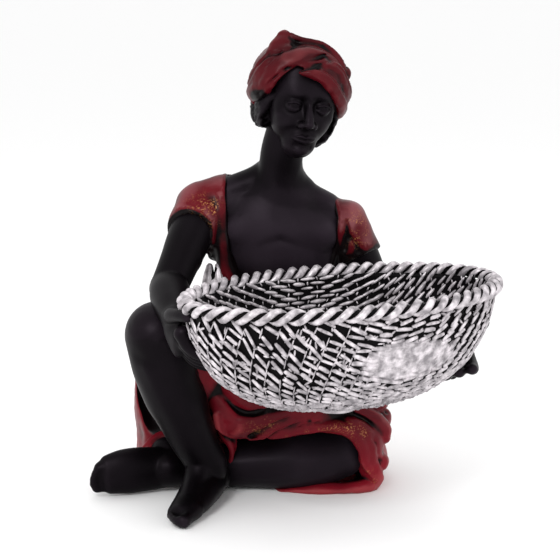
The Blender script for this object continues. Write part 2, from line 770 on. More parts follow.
# Places in the head's own frame
EYE = (7.7, -15.1, 1.9)
EYE_RADIUS, EYE_HALF = 4.1, 4.0
EYELID_FOLD = ((-3.9, 0.9), (-2.2, 2.3), (0.2, 2.9), (2.6, 2.4), (4.5, 0.9))
MOUTH_HEIGHT = -14.3
FACE = (
    (0, -9.6, -17.6, 9.6, 9.2), (0, -7.4, -12.5, 14.2, 12.6), (0, -6.0, -6.5, 16.5, 14.4),
    (0, -4.6, 0, 17.9, 15.9), (0, -3.8, 8, 18.2, 16.8), (0, -2.2, 15, 17.6, 15.8),
)
WING = ((2.6, -24.2, -4.6), (4.7, -22.3, -5.2), (5.9, -20.4, -7.2), (4.9, -20.6, -9.2))
BROW = ((2.5, -17.4, 6.6, 2.4), (8, -16.9, 8.6, 2.5), (13.4, -12.4, 7.0, 2.5))
CHEEK_FOLD = ((6.3, -19.6, -8.6), (8.3, -18.8, -11.5), (9.3, -17.5, -14.5))
NOSE = (
    (0, -17.2, 7.0, 2.6, 2.6), (0, -19.0, 2.6, 2.2, 2.5), (0, -21.0, -1.2, 2.3, 2.6),
    (0, -22.6, -4.2, 2.6, 2.6),
)


def build_eye(clay, side):
    """A round eye behind lids that are a little lowered."""
    dx = (clay.co[:, 0] - side * EYE[0]) * side
    dz = clay.co[:, 2] - EYE[2]
    front = clay.co[:, 1] < -9
    bow = np.clip(1 - (dx / EYE_HALF) ** 2, 0, 1)
    upper = 1.8 * bow**0.75 + 0.09 * dx - 0.1
    lower = -1.3 * bow**0.9 + 0.09 * dx - 0.15
    flat = dx**2 + dz**2
    globe = EYE[1] - np.sqrt(np.maximum(EYE_RADIUS**2 - flat, 0.01))
    lid_size = 4.75 - 0.2 * ramp(dz, 0, -2)
    lid = EYE[1] - np.sqrt(np.maximum(lid_size**2 - flat, 0.01))
    covers = front & (flat < (lid_size - 0.15) ** 2)
    clay.co[:, 1] = np.where(covers, np.minimum(clay.co[:, 1], lid), clay.co[:, 1])
    opening = np.minimum(upper - dz, dz - lower)
    bare = front & (opening > 0) & (np.abs(dx) < EYE_HALF)
    iris = 0.35 * np.exp(-(((np.hypot(dx, dz - 0.1) - 1.15) / 0.28) ** 2)) + 0.3 * np.exp(-flat / 0.25)
    clay.co[:, 1] += (globe + 0.15 + iris - clay.co[:, 1]) * (ramp(opening, 0, 0.3) * bare)
    fold = [(side * (EYE[0] + x), EYE[2] + z) for x, z in EYELID_FOLD]
    clay.stroke([(x, clay.surface(x, z), z) for x, z in fold], 0.5, 0.45, way=(0, -1, 0))


def build_mouth(clay):
    """Closed full lips."""
    x, z = clay.co[:, 0], clay.co[:, 2]
    front = (clay.co[:, 1] < -12) & (np.abs(x) < 7.4)
    wide = np.clip(1 - (x / 6.9) ** 2, 0, 1)
    bow = np.exp(-((np.abs(x) - 1.7) ** 2) / 2.2) * 0.55 - np.exp(-(x**2) / 1.2) * 0.3
    parting = MOUTH_HEIGHT + 0.28 * np.exp(-(x**2) / 1.6) * -1 + 0.3 * (1 - wide)
    top = parting + (1.95 + bow) * wide**0.7 + 0.02
    low = parting - 2.9 * wide**0.75 - 0.02
    up = np.clip((z - parting) / np.maximum(top - parting, 0.05), 0, 1.4)
    down = np.clip((parting - z) / np.maximum(parting - low, 0.05), 0, 1.3)
    full_up = 1.3 * np.sin(np.pi * np.clip(0.16 + 0.84 * up, 0, 1)) ** 0.8
    full_down = 1.65 * np.sin(np.pi * np.clip(0.14 + 0.86 * down, 0, 1)) ** 0.8
    clay.push(np.where(z > parting, full_up, full_down) * wide**0.6 * front, (0, -1, 0))
    dark = np.exp(-(((z - parting) / 0.32) ** 2)) * np.clip(1.15 - (x / 7.2) ** 2, 0, 1)
    clay.push(-0.75 * dark * front, (0, -1, 0))


def build_nose(clay):
    """Wings, nostrils and the soft groove under the nose."""
    for side in (-1, 1):
        clay.spot((side * 1.9, -23.6, -9.3), (1.25, 2.1, 0.9), 1.25, (0, 0, 1))
        clay.stroke(on_side(side, WING), 0.55, 0.4)
        clay.stroke(on_side(side, CHEEK_FOLD), 1.4, 0.12)
    clay.stroke([(0, -22.0, -9.6), (0, -22.5, -12.0)], 0.75, 0.35, smooth=False)


def model_head(props):
    """Head and face, modelled in the head's own frame and then turned."""
    bm = bmesh.new()
    ball(bm, (0, 4.5, 6), (19.4, 23.5, 22.5), sides=40)

    def squared(around, u):
        return 1 - 0.03 * np.cos(4 * around)

    limb(bm, FACE, sides=48, rows=60, cap=0.1, shape=squared)
    limb(bm, NOSE, sides=20, rows=30)
    ball(bm, (0, -23.3, -6.1), (2.9, 2.9, 2.5))
    ball(bm, (0, -21.8, -8.0), (1.3, 2.6, 1.3))
    ball(bm, (0, -13.6, -13.2), (8.6, 6.8, 6.6), sides=28)
    ball(bm, (0, -14.6, -20.2), (5.6, 5.3, 4.3), sides=24)
    for side in (-1, 1):
        ball(bm, (side * 3.3, -21.0, -7.2), (2.4, 3.0, 2.1))
        ball(bm, (side * 9.6, -10.4, -3.4), (6.6, 6.2, 6.0))
        limb(bm, on_side(side, BROW), sides=20, rows=30)
        ball(bm, (side * 18.2, 3.0, -1.5), (2.0, 4.4, 7.2), (8, 0, side * 20))
    clay = cast("head", bm, props.head_voxel, 3)
    nose = near(clay.co, (0, -22, -3), (4.2, 6, 8))
    clay.relax(24, where=1 - np.clip(1.7 * nose, 0, 1))
    ahead = (0, -1, 0)
    for side in (-1, 1):
        clay.spot((side * 7.8, -18, 1.9), (5.8, 8, 3.9), -2.6, ahead)
        clay.spot((side * 3.9, -18, 3.6), (2.4, 8, 3.2), -1.5, ahead)
        clay.spot((side * 19.5, 2.2, -1), (1.8, 2.2, 3.6), -1.6)
    clay.relax(3)
    for side in (-1, 1):
        build_eye(clay, side)
    build_mouth(clay)
    build_nose(clay)
    clay.stroke([(-4.2, -18, -18.8), (0, -20, -19.0), (4.2, -18, -18.8)], 1.3, 0.55, way=ahead)
    clay.relax(1, 0.35)
    set_on_neck(clay)
    made = thin(clay, props.head_triangles)
    made.shade += 0.55
    return made


# How far from the middle, and the height of the hairline there
HAIRLINE = ((0, 15.6), (5, 15.2), (10, 12.6), (14, 8.0), (16.5, 2.0), (18, -6), (19.5, -15))


def model_hair(props):
    """Plaited hair round the face, over the ears and at the nape."""
    bm = bmesh.new()
    ball(bm, (0, 4.6, 5.6), (20.8, 24.8, 23.6), sides=40)
    for side in (-1, 1):
        over_ear = [(17.6, -4.5, 6, 3.2, 6), (19.0, 1, -1, 3.6, 8), (17.0, 6, -9, 4.4, 9)]
        limb(bm, on_side(side, over_ear), sides=28, rows=40)
    limb(bm, [(-14, 13, -5, 8, 12), (0, 18, -6, 8, 12), (14, 13, -5, 8, 12)], across=(0, 1, 0))
    limb(bm, [(18.6, 1, -6, 3.4, 7), (17.2, 5, -13, 3.8, 7.5), (14.5, 8, -18.5, 3.6, 6)], rows=30)
    clay = cast("hair", bm, 0.55, 4)
    side = np.abs(clay.co[:, 0])
    line = read(HAIRLINE, side)
    open_face = ramp(clay.co[:, 2], line, -0.8) * ramp(clay.co[:, 1], -1, -3)
    clay.push(-4.5 * open_face)
    angle = np.arctan2(clay.co[:, 1] - 4, side)
    run = clay.co[:, 2] * 0.8 + 16 * angle
    plait = np.abs(np.sin(run * 1.25 + 0.8 * np.sin(side * 1.7)))
    clay.push((plait - 0.6) * 0.75 * (1 - open_face))
    clay.ripple(3, 0.5, 4)
    clay.relax(1, 0.3)
    set_on_neck(clay)
    made = thin(clay, props.hair_triangles)
    made.shade -= 0.5
    return made


# Middle of the turban, in the head's frame
CROWN = (-0.5, 3.5, 12)
LEAF = (
    (-25.6, 9.0, 0.5, 4.5), (-26.2, -1.5, 3.5, 5.0), (-24.3, -9.4, 8.7, 4.6), (-22.0, -12.4, 16.0, 5.0),
    (-16.6, -13.9, 22.9, 5.4), (-9.6, -14.2, 27.6, 5.0), (-2.0, -13.5, 29.9, 3.6),
    (5.7, -12.5, 29.9, 1.6),
)
LEAF_LOW = (
    (-24.6, -7.0, 4.0), (-23.1, -11.0, 8.0), (-21.1, -14.5, 13.1), (-16.9, -17.3, 18.3),
    (-10.6, -18.9, 22.6), (-2.9, -17.3, 26.9), (6.8, -12.6, 29.4),
)
LEAF_TOP = (
    (-26.0, -4.5, 13.0), (-23.0, -9.9, 18.3), (-20.1, -10.2, 22.9), (-14.2, -11.1, 27.4),
    (-7.9, -10.1, 30.7), (0.0, -10.0, 31.7), (7.5, -12.2, 29.4),
)
BROW_BAND = (
    (-9.0, -21.0, 20.2, 1.2), (-1.5, -22.3, 20.6, 3.0), (5.9, -22.6, 18.0, 3.5), (14.1, -19.6, 11.2, 3.6),
    (21.6, -11.0, 3.0, 3.8), (24.2, -1.0, -2.5, 4.2), (22.5, 11.0, -5.5, 5.0), (14.0, 23.0, -7.0, 5.5),
    (0.0, 28.0, -7.0, 5.5), (-14.0, 23.5, -5.0, 5.5), (-23.0, 13.0, -2.0, 5.0),
)
SIDE_BAND = (
    (-2.5, -18.9, 25.0, 1.2), (6.0, -17.4, 26.2, 2.8), (13.6, -15.7, 23.4, 3.6), (19.6, -13.2, 16.6, 4.2),
    (24.6, -6.5, 8.0, 4.6), (26.2, 4.0, 3.0, 5.0), (22.0, 16.0, 1.0, 5.5), (8.0, 28.0, 2.0, 6.0),
)
BACK_BAND = (
    (-25.5, 6.0, 9.0, 4.5), (-19.5, 20.0, 5.0, 5.5), (-4.0, 29.5, 6.0, 6.0), (12.0, 26.5, 12.0, 6.0),
    (21.5, 15.0, 18.0, 5.0), (21.0, 1.0, 24.0, 4.0),
)
LEFT_FOLD = (
    (-26.1, 8.6, 2.5), (-27.2, 1.0, 9.4), (-26.0, -4.5, 15.8), (-22.7, -6.6, 21.9), (-18.3, -7.0, 26.7),
    (-13.4, -6.9, 29.9),
)
TOP_EDGE = (
    (-14.2, 2.4, 37.2), (-11.0, -1.0, 36.0), (-6.5, -3.4, 35.2), (0.5, -3.6, 34.8), (8.0, -3.8, 33.2),
    (15.0, -6.0, 28.4), (19.5, -7.0, 22.4),
)
BUMP = ((-13.4, -1.5, 26, 10, 7), (-13.6, 0.2, 31, 7.0, 5.0), (-13.8, 1.6, 34.4, 4.0, 3.0))
LEAF_SHADOW = ((-20.3, -12.5, 16.5), (-9.5, -20.2, 21.6), (0.0, -19.6, 24.2), (7.6, -15.5, 28.0))
FOLD_PIT = ((-25.0, -3.0, 19.0), (-21.5, -6.5, 24.0), (-17.0, -8.4, 27.5))
AS_IT_IS = (0, 0, 0)
# Path, how far it is moved, width and depth, ridges having a depth under 0
TURBAN_FOLDS = (
    (LEAF_SHADOW, AS_IT_IS, 1.6, 2.0),
    (LEAF_LOW, AS_IT_IS, 0.8, 1.4),
    (LEAF_LOW[2:], AS_IT_IS, 0.8, 0.5),
    (LEAF_LOW, (0, 0.6, 2.0), 0.7, -0.45),
    (LEAF_TOP, (0.4, 1.6, 0.9), 0.9, 1.5),
    (LEAF_TOP, AS_IT_IS, 0.55, -0.6),
    (LEAF_TOP[2:], (1.6, -1.2, -3.0), 1.2, 0.5),
    (FOLD_PIT, AS_IT_IS, 1.3, 1.8),
    (LEFT_FOLD, AS_IT_IS, 0.6, -0.8),
    (LEFT_FOLD, (-0.6, 2.4, 1.4), 0.9, 0.9),
    (LEFT_FOLD[:-1], (0, 6, 2.5), 1.2, 0.7),
    (BROW_BAND[:7], (0.3, 0, 2.9), 0.7, 1.1),
    (BROW_BAND[:8], (0, 0, 1.9), 0.6, -0.5),
    (BROW_BAND[1:8], (0, 0, -0.4), 0.9, 0.45),
    (SIDE_BAND[:6], (0.4, 0, 3.6), 0.8, 1.3),
    (SIDE_BAND[:6], (0, 0, 2.4), 0.6, -0.55),
    (SIDE_BAND[:7], (0, 0, 0.2), 0.8, 0.7),
    (SIDE_BAND[2:7], (0, 0, -2.0), 0.7, 0.6),
    (TOP_EDGE, (0, 1.7, 0.3), 0.9, 1.3),
    (TOP_EDGE, AS_IT_IS, 0.5, -0.5),
    (TOP_EDGE[1:], (-1, -2.5, -1.5), 1.1, 0.6),
)
# Middle, half size and depth of the darkest places
TURBAN_DARK = (
    ((-24, -8, 1), (10, 10, 5.5), 2.6),
    ((-9, -20.5, 20), (5, 5, 3.2), 1.0),
    ((22, -4, 20), (3, 5, 5), 0.9),
)


def on_crown(path, share):
    """Places on the turban, brought in towards its middle by a share."""
    return [(*between(CROWN, p[:3], share), *p[3:]) for p in path]


def model_turban(props):
    """Cloth wound round the head in crossing bands, with a peak where it is tucked."""
    bm = bmesh.new()
    ball(bm, (-0.6, 3.8, 12.6), (25.4, 26.6, 21.4), sides=60)
    cut = {"plane_co": (0, 0, 9.2), "plane_no": Vector((0.33, 0.58, 1)).normalized()}
    whole = bm.verts[:] + bm.edges[:] + bm.faces[:]
    cropped = bmesh.ops.bisect_plane(bm, geom=whole, clear_inner=True, **cut)
    rim = [e for e in cropped["geom_cut"] if isinstance(e, bmesh.types.BMEdge)]
    bmesh.ops.holes_fill(bm, edges=rim)
    for path, thick in ((LEAF, 3.0), (BROW_BAND, 2.7), (SIDE_BAND, 2.6), (BACK_BAND, 2.6)):
        stations = [(*p[:3], p[3], min(thick, 0.5 + p[3])) for p in on_crown(path, 0.93)]
        limb(bm, stations, heart=CROWN, sides=28, rows=90, cap=0.04)
    left = [(*p, 7.5, 2.6) for p in on_crown(LEFT_FOLD, 0.93)]
    limb(bm, left, heart=CROWN, sides=28, rows=60, cap=0.06)
    limb(bm, [(*p, 1.5) for p in on_crown(TOP_EDGE[1:], 0.965)], rows=60, cap=0.04)
    limb(bm, BUMP, sides=24, rows=30)
    ball(bm, (20.6, -4.5, 19.5), (3.4, 3.4, 4.2))
    clay = cast("turban", bm, 0.48, 3)
    for path, by, width, depth in TURBAN_FOLDS:
        clay.stroke(moved(path, by), width, depth)
    for step in (-2.6, 0.8, 3.4):
        back = moved(BACK_BAND, (0, 0, step))
        clay.stroke(back, 0.9, 0.8)
        clay.stroke(moved(back, (0, 0, 1.6)), 0.8, -0.4)
    for i in range(3):
        crest = [(-10 + 4 * i, 12, 33.5), (2 + 6 * i, 20, 28), (14 + 3 * i, 24, 20)]
        clay.stroke(crest, 1.3, 0.8)
    for step in (-2.4, 0.4, 2.8):
        clay.stroke(moved(BROW_BAND[5:], (0, 0, step)), 0.9, 0.7)
    clay.ripple(8, 0.5, 3)
    clay.ripple(3, 0.25, 8)
    clay.relax(1, 0.4)
    set_on_neck(clay)
    made = thin(clay, props.turban_triangles)
    turn, at = head_frame()
    own = (made.co - at) @ turn
    for spot, half, share in TURBAN_DARK:
        made.shade -= share * near(own, spot, half)
    made.shade -= 0.3 * ramp(own[:, 1], -2, 8)
    return made


# The body

CHEST = (
    (3, 27, 84, 27, 18), (2, 24, 104, 26.5, 17.5), (1, 20.5, 124, 31, 19), (-0.5, 19, 142, 34, 19.5),
    (0, 18, 153, 30, 16.5), (1, 17, 160, 20, 13.5),
)
NECK = (
    (0.8, 16, 158, 20, 13.5), (0.6, 14.5, 166, 14.5, 12), (0.4, 12.5, 174, 11.9, 11.2),
    (1.4, 10.5, 184, 11.4, 11.4), (6.0, 9, 198, 12, 12),
)
NECK_SIDES = (
    ((2, 16, 177, 8.5, 9), (-11, 18, 166.5, 8.5, 9), (-28, 18.5, 161, 7, 9)),
    ((4, 16, 171, 8, 9), (12, 18, 159.5, 8, 9), (26, 19, 152.5, 6.8, 9)),
)


def model_torso(props):
    """Neck, bare chest and back, under the dress."""
    bm = bmesh.new()
    limb(bm, CHEST, sides=48, rows=60)
    limb(bm, NECK, sides=36, rows=50)
    for end in (SHOULDER_R, SHOULDER_L):
        collar = [(0, 19, 156, 11, 11), (*between((0, 19, 157), end, 0.5), 11, 11), (*end, 11, 11)]
        limb(bm, collar, across=(0, 0, 1))
    for path in NECK_SIDES:
        limb(bm, path, across=(0, 0, 1))
    for x, z in ((-15.5, 141), (16.5, 139)):
        ball(bm, (x, 10.8, z), (16, 9.0, 12.5))
    clay = cast("torso", bm, props.body_voxel, 16)
    for side, root in ((-1, (-31, 9, 160)), (1, (30, 11, 152))):
        clay.stroke([(1 + side * 4, 4.5, 162.5), between((1, 5, 161), root, 0.5), root], 3.0, -0.3)
        cord = [(8 + side * 11, 12, 188), (4 + side * 7, 5, 175), (1.5 + side * 3, 4, 165)]
        clay.stroke(cord, 2.8, -0.4)
    clay.stroke([(0.5, 0, 156), (0.5, 0, 144), (1, -1, 128), (2, 2, 108)], 3.6, 0.35)
    clay.stroke([(-28, 5, 133), (-15.9, 0, 131.7), (-5.3, 0, 135.5), (0, 1, 136.9)], 1.7, 0.6)
    clay.stroke([(30, 6, 132), (18.6, 1, 130.3), (6, 0, 135), (0, 1, 136.9)], 1.7, 0.6)
    clay.spot((1.0, 4, 163.5), (3.4, 6, 2.8), -0.5)
    clay.relax(2)
    made = thin(clay, props.torso_triangles)
    height = made.co[:, 2]
    made.shade += 1.25 * ramp(height, 112, 14) * ramp(height, 176, -14)
    return made


PALM_R = ((*WRIST_R, 7.4, 6.6), (-51.5, -66, 104.5, 10, 6.2), (-48.8, -71.5, 100, 13, 5.4))
PALM_L = ((*WRIST_L, 8, 7.2), (87, -15, 79, 11.5, 6.2), (89.5, -22, 78.5, 12.6, 5.8))
THUMB_R = (
    (-52, -63, 108.5, 5, 5), (-53, -74, 112.5, 4.2, 4.2), (-49, -84, 115, 3.6, 3.4),
    (-44.5, -91, 116, 3.2, 3),
)
THUMB_L = ((92, -12, 84, 4.8, 4.8), (101, -14, 89, 4.1, 4.1), (106.5, -17, 96, 3.6, 3.4))


def clear_bowl(clay, bowl):
    """Draws a skin back out of the hollow of the basket, into its wall."""
    turn, at = np.array(bowl.place)[:3, :3], np.array(bowl.place.translation)
    own = (clay.co - at) @ turn
    shape = spline(BOWL_PROFILE, np.linspace(0, 1, 200))
    far = np.hypot(own[:, 0] / bowl.long, own[:, 1] / bowl.wide)
    sideways = np.interp(own[:, 2] / bowl.side, shape[:, 1], shape[:, 0]) - 0.03 - far
    drop = own[:, 2] - 1.2 - np.interp(far, shape[:, 0], shape[:, 1]) * bowl.side
    within = (sideways > 0) & (drop > 0) & (own[:, 2] < bowl.side)
    flat = within & (sideways * bowl.wide < drop)
    own[flat, :2] *= (1 + sideways[flat] / np.maximum(far[flat], 0.1))[:, None]
    own[within & ~flat, 2] -= drop[within & ~flat]
    clay.co = own @ turn.T + at


def finger(right, i):
    """A knuckle and the middle line of its finger, by its place in the row."""
    if right:
        y, rise = -82.5 + 6.9 * i, 5 - 3.4 * i
        path = [
            (-47.4, y, 101 + rise, 4.1, 3.9), (-45, y - 0.6, 95.5 + rise, 3.8, 3.6),
            (-41, y - 0.4, 91.6 + rise, 3.6, 3.4), (-36, y, 89.6 + rise, 3.3, 3.1),
        ]
        return (-50, y, 100 + rise), path
    x = 99 - 6.7 * i
    path = [
        (x - 1, -19, 79.5 - i, 4.0, 3.8), (x, -28, 77 - i * 1.4, 3.8, 3.6),
        (x, -37, 76.5 - i * 1.5, 3.6, 3.3), (x - 1, -45, 78 - i * 1.6, 3.2, 2.9),
    ]
    return (x, -20, 80 - i), path


def model_arm(props, side, bowl):
    """An arm from inside the sleeve to the fingertips."""
    right = side == "right"
    shoulder, elbow, wrist = (SHOULDER_R, ELBOW_R, WRIST_R) if right else (SHOULDER_L, ELBOW_L, WRIST_L)
    bm = bmesh.new()
    upper = [(0, 11.5), (0.35, 11.8), (0.7, 10.6), (1, 9.8)]
    lower = [(0, 10.0), (0.28, 10.9), (0.6, 9.4), (0.88, 7.4)]
    limb(bm, [(*between(shoulder, elbow, share), r) for share, r in upper], sides=32, rows=50)
    forearm = [(*between(elbow, wrist, share), r) for share, r in lower]
    limb(bm, [*forearm, (*wrist, 7.2, 7.8)], sides=32, rows=50)
    if right:
        ball(bm, (-47.5, -5, 127), (6.6, 7, 9.5), (0, 25, 0))
    palm, thumb = (PALM_R, THUMB_R) if right else (PALM_L, THUMB_L)
    limb(bm, palm, across=(0, 0.35, -1), rows=40)
    knuckles = []
    for i in range(4):
        knuckle, path = finger(right, i)
        knuckles.append(knuckle)
        limb(bm, path, sides=16, rows=30)
    limb(bm, thumb, sides=16, rows=30)
    clay = cast("arm_" + side, bm, props.hand_voxel, 6)
    if right:
        clay.spot((-65, -16, 113), (6, 6, 6), 1.0)
        clay.stroke([(-60, -62, 112), (-59.5, -63, 104), (-53, -62, 99)], 1.0, 0.6)
        clay.stroke([(-61, -2, 128), (-66, -14, 118), (-63, -30, 110)], 4, 0.5)
    for at in knuckles:
        clay.spot(at, (2.4, 2.4, 2.4), 0.7)
    clay.relax(1)
    clear_bowl(clay, bowl)
    return thin(clay, props.arm_triangles)


SHIN_R = (
    (-62.5, -33, 93.5, 17.4, 17.6), (-60.4, -32.5, 80, 17.0, 17.0), (-56.8, -31, 65, 16.6, 15.8),
    (-52.4, -29, 54.6, 16.2, 15.1), (-48.6, -27.5, 43.7, 14.6, 13.4), (-45.0, -26, 34.5, 12.8, 12.3),
    (-41.2, -24, 26.5, 11.6, 11.4), (-38.6, -22, 19, 10.8, 10.8),
)
SHIN_L = (
    (33, 2.5, 20, 14.5, 14.6), (22, 2, 17.5, 16.2, 16.2), (8, 1.4, 16, 16.8, 16.4),
    (-14, 0.6, 14, 14.0, 13.6), (-33, 0.2, 12.6, 11.4, 11.4), (-46, 0, 12, 10.6, 10.8),
)
# Middle line, the way the toes lie, half width, their spread, and each toe's reach and thickness
FOOT_R = (
    (
        (-38.0, -12, 9.5, 10.4, 9.5), (-40.6, -28, 9.6, 10.6, 9.6), (-45.0, -43, 7.0, 10.2, 7.0),
        (-50, -57, 5.0, 8.2, 4.8),
    ),
    (0.94, -0.35, 0),
    7.6,
    (0.62, 0.33),
    ((8.2, 3.8), (8.8, 2.9), (7.8, 2.7), (5.8, 2.6), (3.4, 2.5)),
)
FOOT_L = (
    (
        (-56, -1.5, 11.6, 10.2, 8), (-69, -6, 12.6, 11.8, 7.8), (-82, -11, 12.8, 12.4, 7.4),
        (-91.5, -14.5, 11.8, 10.8, 6.0),
    ),
    (0.05, 0.2, 1),
    9.8,
    (0.5, 0.29),
    ((4.8, 4.0), (6.8, 3.2), (7.8, 3.0), (7.8, 2.9), (6.4, 2.9)),
)


def model_leg(props, side):
    """A leg from the knee down to its foot and toes."""
    right = side == "right"
    bm = bmesh.new()
    limb(bm, SHIN_R if right else SHIN_L, across=(0, 1, 0), sides=44, rows=90, cap=0.08)
    if right:
        thigh = [(*between(HIP_R, KNEE_R, share), r) for share, r in ((0.5, 20), (0.8, 19), (1, 17.6))]
        limb(bm, thigh, sides=36, rows=40)
        limb(bm, [(-39, -20, 17, 10), (-35.5, -15, 10, 9)], rows=30)
        limb(bm, [(-41, -25, 24, 8.6), (-43.5, -33, 14.5, 7.2), (-47, -44, 8, 6.2)], rows=30)
    else:
        heel = [(-46, 0, 12, 10.6), (-54, -1, 12, 11), (-62, -4, 12, 10.4)]
        limb(bm, heel, across=(0, 1, 0), rows=30)
        ball(bm, (-61, 3, 17.5), (10.5, 9, 10), (0, 12, 0))
        ball(bm, (-52, 5, 21), (10, 9, 10))
    foot, across, width, spread, toes = FOOT_R if right else FOOT_L
    limb(bm, foot, across=across, sides=36, rows=50)
    pad, tip = Vector(foot[-2][:3]), Vector(foot[-1][:3])
    ahead = (tip - pad).normalized()
    over = Vector(across).normalized()
    nails = []
    for i, (reach, thick) in enumerate(toes):
        apart = width * (spread[0] - spread[1] * i)
        start = tip + over * apart
        end = start + ahead * reach - over * 0.12 * apart
        toe = [(*(start - ahead * 5), thick * 1.3), (*start.lerp(end, 0.5), thick * 0.95), (*end, thick)]
        limb(bm, toe, across=across, sides=16, rows=26)
        nails.append((end, thick))
    clay = cast("leg_" + side, bm, props.foot_voxel, 6)
    if right:
        clay.relax(8, where=ramp(clay.co[:, 2], 24, 10))
        clay.spot((-70, -47, 97), (9, 9, 9), 0.9)
        clay.stroke([(-74, -47, 84), (-62, -47, 82), (-52, -44, 88)], 3.5, 0.5)
        clay.stroke([(-68, -47, 80), (-58, -44, 58), (-50, -37, 38)], 3.0, -0.8)
        clay.spot((-30, -29, 24), (4.5, 5, 5), 1.1)
        clay.spot((-48.5, -17, 23), (4.5, 5, 5), 0.8)
        clay.stroke([(-46, -38, 15), (-48, -48, 9.5), (-50, -56, 7.5)], 1.1, -0.35)
        nail_way = Vector((-0.15, -0.35, 0.92))
    else:
        clay.spot((-58, -14, 17), (6, 5, 5), 1.0)
        clay.stroke([(40, -15, 21), (0, -16, 20), (-38, -11, 16)], 3.5, -0.5)
        nail_way = Vector((-0.35, -0.93, 0.1))
    for end, thick in nails:
        bed = end + ahead * thick * 0.3 + nail_way * thick * 0.85
        clay.spot(bed, (thick * 0.5,) * 3, 0.4)
        clay.spot(end - ahead * thick * 1.2 + nail_way * thick, (thick * 0.9,) * 3, -0.3)
    clay.ripple(14, 0.35, 5)
    clay.relax(1)
    flatten(clay)
    made = thin(clay, props.leg_triangles)
    if not right:
        made.shade += 0.8 * ramp(made.co[:, 0], -48, 20)
    return made


def flatten(clay):
    """Grinds the underside flat on the ground."""
    clay.co[:, 2] = np.maximum(clay.co[:, 2], 0.0)


# The dress


# Height, right edge and left edge of the opening
NECKLINE = (
    (96, -6, 12), (104, -15, 20), (114.9, -21.3, 26), (120.3, -23.4, 27.6), (131.5, -27.0, 29.6),
    (147.6, -27.5, 30.2), (157.5, -28.2, 28.1), (163, -28.5, 24), (170, -28, 22),
)
FRONT_STRIP = (
    (-31.5, 9, 158, 4.0), (-32.0, 8, 147, 4.6), (-32.2, 7.6, 139, 4.6), (-30.8, 7.4, 131, 4.4),
    (-29.2, 8, 122, 4.2), (-25.6, 9, 112, 4.2),
)
SLEEVE_HEM_R = ((-47.5, 1, 149.9), (-57.1, 8, 140.9), (-35.5, 2, 138.7))
SLEEVE_HEM_L = ((42.7, 6, 126.3), (30.9, 4, 121.0), (53.3, 14, 130.0))
# Dark folds of the sleeves: path and width
SLEEVE_DARK = (
    (((-40.8, 4.5, 151.3), (-39.6, 5, 147), (-38.0, 6, 142.5)), 0.8),
    (((-36.8, 4.5, 150.6), (-37.6, 5, 146), (-38.0, 6, 142.5)), 0.7),
    (((-38.0, 6, 142.5), (-37.4, 7, 139), (-36.8, 8, 134)), 1.3),
    (((-37, 6, 136), (-36.6, 7, 130), (-35.6, 8, 124)), 2.2),
    (((35.6, 6, 143), (34.8, 7, 136), (33.6, 8.5, 127)), 1.2),
    (((34, 9, 126), (39, 8.5, 127.5), (44, 9, 128.5)), 1.8),
)
# Shoulder, elbow, hem, and how thick the sleeve is
SLEEVES = ((SHOULDER_R, ELBOW_R, SLEEVE_HEM_R, 14.6), (SHOULDER_L, ELBOW_L, SLEEVE_HEM_L, 14.2))
BODICE = (
    (3, 28, 82, 31, 22), (2, 25, 104, 29.5, 20), (1, 21.5, 124, 34, 21), (-0.5, 20.5, 142, 37, 20.5),
    (0, 20, 153, 34, 17), (1, 20, 158, 26, 13),
)
YOKE = (
    (*SHOULDER_R, 14.4), (-26, 20, 156, 13), (-1, 21.5, 151, 12), (19, 20.5, 148, 12), (*SHOULDER_L, 13),
)
# Ends, width and depth of the bodice's creases, ridges having a depth under 0
BODICE_CREASES = (
    ((-40.8, 4, 151.3), (-38.2, 6, 142.5), 0.8, 1.3),
    ((-36.8, 4, 150.6), (-38.0, 6, 142.5), 0.8, 1.3),
    ((-38.0, 5, 142.5), (-36.2, 6, 136), 0.9, 1.3),
    ((-42, 6, 136), (-35, 12, 116), 1.6, 1.0),
    ((-50, 3, 157), (-44, 2, 151), 1.6, 0.4),
    ((35.6, 6, 146), (34.4, 8, 130), 1.2, 1.4),
    ((38.5, 6, 144), (38.5, 7, 132), 1.6, -0.6),
    ((36.5, 7, 137), (42, 8.5, 129), 1.3, 0.9),
    ((45, 8, 146), (49, 11, 136), 1.8, 0.4),
)
BODICE_GILT = (((-41, 3, 155), (7, 8, 4.5)), ((-36, 3, 150), (3, 6, 5)), ((42, 8, 141), (5, 9, 8)))
# The opening lies before one place along Y and above the waist, and the nape is bare too
OPEN_BEFORE, WAIST, NAPE = 22, 95, 158
# Behind this along Y the cloth is shaded as at the back
BACK_FROM = 24
# How far from its arm a sleeve reaches, and how far the cloth is drawn in beyond the hem
SLEEVE_REACH, DRAWN_IN = 19, 8


def hem_plane(hem, shoulder):
    """A point on a sleeve's hem and the way to the shoulder from it."""
    a, b, c = np.array(hem, float)
    normal = unit(np.cross(b - a, c - a))
    return a, normal * np.sign((np.array(shoulder) - a) @ normal)


def neck_edges(z):
    """The right and the left edge of the opening at each height."""
    return read(NECKLINE, z, 1), read(NECKLINE, z, 2)


